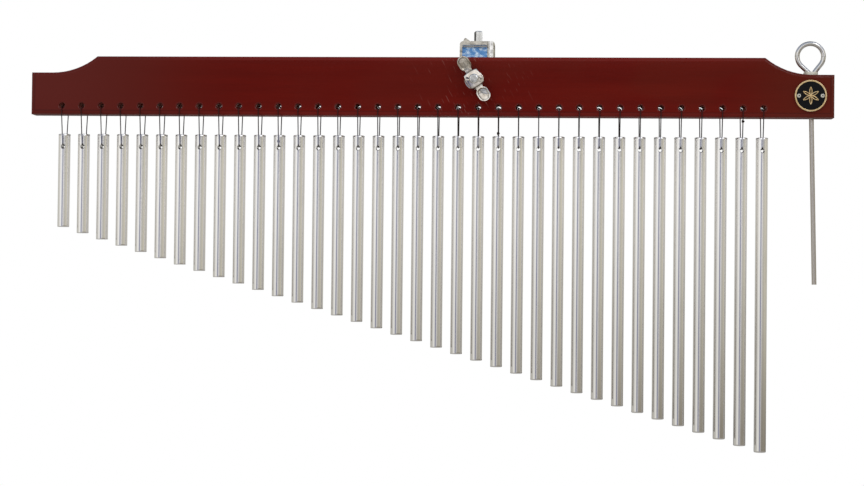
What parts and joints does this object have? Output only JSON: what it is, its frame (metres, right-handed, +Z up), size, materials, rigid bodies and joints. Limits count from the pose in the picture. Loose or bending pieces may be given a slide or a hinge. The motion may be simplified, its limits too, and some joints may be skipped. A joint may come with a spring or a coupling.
{
  "type": "bar chimes",
  "caption": "Row of graduated metal bars on cord loops under a lacquered wooden mantle, with a stand clamp and wing nut, a round badge and a ring-handled wire beater parked in one end.",
  "frame": {"origin": "centre of the rod socket's mouth at the back of the stand clamp", "axes": "+X along the mantle towards the longest bar, +Y out of the rod socket to the rear, +Z up"},
  "size_m": [0.6807, 0.0652, 0.3573],
  "materials": {
    "lacquered_wood": "gloss red-brown lacquer",
    "bar_aluminium": "polished",
    "cord": "braided",
    "chrome_casting": "bright plated",
    "chrome_trim": "bright plated",
    "zinc_steel": "zinc plated",
    "polished_wire": "bright wire",
    "pale_steel": "turned",
    "badge_brass": "polished",
    "badge_enamel": "gloss black"
  },
  "bodies": {
    "clamp": {"clamp_body": "chrome_casting", "clamp_bolt": "zinc_steel"},
    "mantle": {"mantle": "lacquered_wood", "hanging_cords": "cord", "clamp_washer": "chrome_trim", "beater_ferrule": "pale_steel", "badge_plate": "badge_brass", "badge_field": "badge_enamel", "badge_pins": "pale_steel"},
    "wing_nut": {"wing_nut": "chrome_trim"},
    "key_bolt": {"key_bolt": "zinc_steel"},
    "beater": {"beater": "polished_wire"},
    "bar_01": {"bar_01": "bar_aluminium"},
    "bar_02": {"bar_02": "bar_aluminium"},
    "bar_03": {"bar_03": "bar_aluminium"},
    "bar_04": {"bar_04": "bar_aluminium"},
    "bar_05": {"bar_05": "bar_aluminium"},
    "bar_06": {"bar_06": "bar_aluminium"},
    "bar_07": {"bar_07": "bar_aluminium"},
    "bar_08": {"bar_08": "bar_aluminium"},
    "bar_09": {"bar_09": "bar_aluminium"},
    "bar_10": {"bar_10": "bar_aluminium"},
    "bar_11": {"bar_11": "bar_aluminium"},
    "bar_12": {"bar_12": "bar_aluminium"},
    "bar_13": {"bar_13": "bar_aluminium"},
    "bar_14": {"bar_14": "bar_aluminium"},
    "bar_15": {"bar_15": "bar_aluminium"},
    "bar_16": {"bar_16": "bar_aluminium"},
    "bar_17": {"bar_17": "bar_aluminium"},
    "bar_18": {"bar_18": "bar_aluminium"},
    "bar_19": {"bar_19": "bar_aluminium"},
    "bar_20": {"bar_20": "bar_aluminium"},
    "bar_21": {"bar_21": "bar_aluminium"},
    "bar_22": {"bar_22": "bar_aluminium"},
    "bar_23": {"bar_23": "bar_aluminium"},
    "bar_24": {"bar_24": "bar_aluminium"},
    "bar_25": {"bar_25": "bar_aluminium"},
    "bar_26": {"bar_26": "bar_aluminium"},
    "bar_27": {"bar_27": "bar_aluminium"},
    "bar_28": {"bar_28": "bar_aluminium"},
    "bar_29": {"bar_29": "bar_aluminium"},
    "bar_30": {"bar_30": "bar_aluminium"},
    "bar_31": {"bar_31": "bar_aluminium"},
    "bar_32": {"bar_32": "bar_aluminium"},
    "bar_33": {"bar_33": "bar_aluminium"},
    "bar_34": {"bar_34": "bar_aluminium"},
    "bar_35": {"bar_35": "bar_aluminium"},
    "bar_36": {"bar_36": "bar_aluminium"}
  },
  "joints": [
    {"name": "mantle_tilt", "type": "hinge", "parent": "clamp", "child": "mantle", "pos_m": [-0.0015, -0.034, -0.0228], "axis": [0, -1, 0], "range_deg": [-45, 45]},
    {"name": "wing_nut_turn", "type": "hinge", "parent": "clamp", "child": "wing_nut", "pos_m": [-0.0015, -0.0542, -0.0228], "axis": [0, -1, 0], "continuous": true},
    {"name": "key_bolt_turn", "type": "hinge", "parent": "clamp", "child": "key_bolt", "pos_m": [0, -0.0115, 0.013], "axis": [0, 0, 1], "continuous": true},
    {"name": "beater_lift", "type": "slide", "parent": "mantle", "child": "beater", "axis": [-0.0227, 0, 0.9997], "range_m": [0, 0.19]},
    {"name": "bar_01_swing", "type": "hinge", "parent": "mantle", "child": "bar_01", "pos_m": [-0.35494, -0.0435, -0.0803], "axis": [0, -1, 0], "range_deg": [-20, 5.4]},
    {"name": "bar_02_swing", "type": "hinge", "parent": "mantle", "child": "bar_02", "pos_m": [-0.33794, -0.0435, -0.0803], "axis": [0, -1, 0], "range_deg": [-5.4, 5]},
    {"name": "bar_03_swing", "type": "hinge", "parent": "mantle", "child": "bar_03", "pos_m": [-0.32094, -0.0435, -0.0803], "axis": [0, -1, 0], "range_deg": [-5, 4.7]},
    {"name": "bar_04_swing", "type": "hinge", "parent": "mantle", "child": "bar_04", "pos_m": [-0.30394, -0.0435, -0.0803], "axis": [0, -1, 0], "range_deg": [-4.7, 4.4]},
    {"name": "bar_05_swing", "type": "hinge", "parent": "mantle", "child": "bar_05", "pos_m": [-0.28694, -0.0435, -0.0803], "axis": [0, -1, 0], "range_deg": [-4.4, 4.2]},
    {"name": "bar_06_swing", "type": "hinge", "parent": "mantle", "child": "bar_06", "pos_m": [-0.26994, -0.0435, -0.0803], "axis": [0, -1, 0], "range_deg": [-4.2, 3.9]},
    {"name": "bar_07_swing", "type": "hinge", "parent": "mantle", "child": "bar_07", "pos_m": [-0.25294, -0.0435, -0.0803], "axis": [0, -1, 0], "range_deg": [-3.9, 3.7]},
    {"name": "bar_08_swing", "type": "hinge", "parent": "mantle", "child": "bar_08", "pos_m": [-0.23594, -0.0435, -0.0803], "axis": [0, -1, 0], "range_deg": [-3.7, 3.5]},
    {"name": "bar_09_swing", "type": "hinge", "parent": "mantle", "child": "bar_09", "pos_m": [-0.21894, -0.0435, -0.0803], "axis": [0, -1, 0], "range_deg": [-3.5, 3.4]},
    {"name": "bar_10_swing", "type": "hinge", "parent": "mantle", "child": "bar_10", "pos_m": [-0.20194, -0.0435, -0.0803], "axis": [0, -1, 0], "range_deg": [-3.4, 3.2]},
    {"name": "bar_11_swing", "type": "hinge", "parent": "mantle", "child": "bar_11", "pos_m": [-0.18494, -0.0435, -0.0803], "axis": [0, -1, 0], "range_deg": [-3.2, 3.1]},
    {"name": "bar_12_swing", "type": "hinge", "parent": "mantle", "child": "bar_12", "pos_m": [-0.16794, -0.0435, -0.0803], "axis": [0, -1, 0], "range_deg": [-3.1, 2.9]},
    {"name": "bar_13_swing", "type": "hinge", "parent": "mantle", "child": "bar_13", "pos_m": [-0.15094, -0.0435, -0.0803], "axis": [0, -1, 0], "range_deg": [-2.9, 2.8]},
    {"name": "bar_14_swing", "type": "hinge", "parent": "mantle", "child": "bar_14", "pos_m": [-0.13394, -0.0435, -0.0803], "axis": [0, -1, 0], "range_deg": [-2.8, 2.7]},
    {"name": "bar_15_swing", "type": "hinge", "parent": "mantle", "child": "bar_15", "pos_m": [-0.11694, -0.0435, -0.0803], "axis": [0, -1, 0], "range_deg": [-2.7, 2.6]},
    {"name": "bar_16_swing", "type": "hinge", "parent": "mantle", "child": "bar_16", "pos_m": [-0.09994, -0.0435, -0.0803], "axis": [0, -1, 0], "range_deg": [-2.6, 2.5]},
    {"name": "bar_17_swing", "type": "hinge", "parent": "mantle", "child": "bar_17", "pos_m": [-0.08294, -0.0435, -0.0803], "axis": [0, -1, 0], "range_deg": [-2.5, 2.4]},
    {"name": "bar_18_swing", "type": "hinge", "parent": "mantle", "child": "bar_18", "pos_m": [-0.06594, -0.0435, -0.0803], "axis": [0, -1, 0], "range_deg": [-2.4, 2.3]},
    {"name": "bar_19_swing", "type": "hinge", "parent": "mantle", "child": "bar_19", "pos_m": [-0.04894, -0.0435, -0.0803], "axis": [0, -1, 0], "range_deg": [-2.3, 2.2]},
    {"name": "bar_20_swing", "type": "hinge", "parent": "mantle", "child": "bar_20", "pos_m": [-0.03194, -0.0435, -0.0803], "axis": [0, -1, 0], "range_deg": [-2.2, 2.2]},
    {"name": "bar_21_swing", "type": "hinge", "parent": "mantle", "child": "bar_21", "pos_m": [-0.01494, -0.0435, -0.0803], "axis": [0, -1, 0], "range_deg": [-2.2, 2.1]},
    {"name": "bar_22_swing", "type": "hinge", "parent": "mantle", "child": "bar_22", "pos_m": [0.00206, -0.0435, -0.0803], "axis": [0, -1, 0], "range_deg": [-2.1, 2]},
    {"name": "bar_23_swing", "type": "hinge", "parent": "mantle", "child": "bar_23", "pos_m": [0.01906, -0.0435, -0.0803], "axis": [0, -1, 0], "range_deg": [-2, 2]},
    {"name": "bar_24_swing", "type": "hinge", "parent": "mantle", "child": "bar_24", "pos_m": [0.03606, -0.0435, -0.0803], "axis": [0, -1, 0], "range_deg": [-2, 1.9]},
    {"name": "bar_25_swing", "type": "hinge", "parent": "mantle", "child": "bar_25", "pos_m": [0.05306, -0.0435, -0.0803], "axis": [0, -1, 0], "range_deg": [-1.9, 1.9]},
    {"name": "bar_26_swing", "type": "hinge", "parent": "mantle", "child": "bar_26", "pos_m": [0.07006, -0.0435, -0.0803], "axis": [0, -1, 0], "range_deg": [-1.9, 1.8]},
    {"name": "bar_27_swing", "type": "hinge", "parent": "mantle", "child": "bar_27", "pos_m": [0.08706, -0.0435, -0.0803], "axis": [0, -1, 0], "range_deg": [-1.8, 1.8]},
    {"name": "bar_28_swing", "type": "hinge", "parent": "mantle", "child": "bar_28", "pos_m": [0.10406, -0.0435, -0.0803], "axis": [0, -1, 0], "range_deg": [-1.8, 1.7]},
    {"name": "bar_29_swing", "type": "hinge", "parent": "mantle", "child": "bar_29", "pos_m": [0.12106, -0.0435, -0.0803], "axis": [0, -1, 0], "range_deg": [-1.7, 1.7]},
    {"name": "bar_30_swing", "type": "hinge", "parent": "mantle", "child": "bar_30", "pos_m": [0.13806, -0.0435, -0.0803], "axis": [0, -1, 0], "range_deg": [-1.7, 1.6]},
    {"name": "bar_31_swing", "type": "hinge", "parent": "mantle", "child": "bar_31", "pos_m": [0.15506, -0.0435, -0.0803], "axis": [0, -1, 0], "range_deg": [-1.6, 1.6]},
    {"name": "bar_32_swing", "type": "hinge", "parent": "mantle", "child": "bar_32", "pos_m": [0.17206, -0.0435, -0.0803], "axis": [0, -1, 0], "range_deg": [-1.6, 1.6]},
    {"name": "bar_33_swing", "type": "hinge", "parent": "mantle", "child": "bar_33", "pos_m": [0.18906, -0.0435, -0.0803], "axis": [0, -1, 0], "range_deg": [-1.6, 1.5]},
    {"name": "bar_34_swing", "type": "hinge", "parent": "mantle", "child": "bar_34", "pos_m": [0.20606, -0.0435, -0.0803], "axis": [0, -1, 0], "range_deg": [-1.5, 1.5]},
    {"name": "bar_35_swing", "type": "hinge", "parent": "mantle", "child": "bar_35", "pos_m": [0.22306, -0.0435, -0.0803], "axis": [0, -1, 0], "range_deg": [-1.5, 1.5]},
    {"name": "bar_36_swing", "type": "hinge", "parent": "mantle", "child": "bar_36", "pos_m": [0.24006, -0.0435, -0.0803], "axis": [0, -1, 0], "range_deg": [-1.5, 10]}
  ]
}
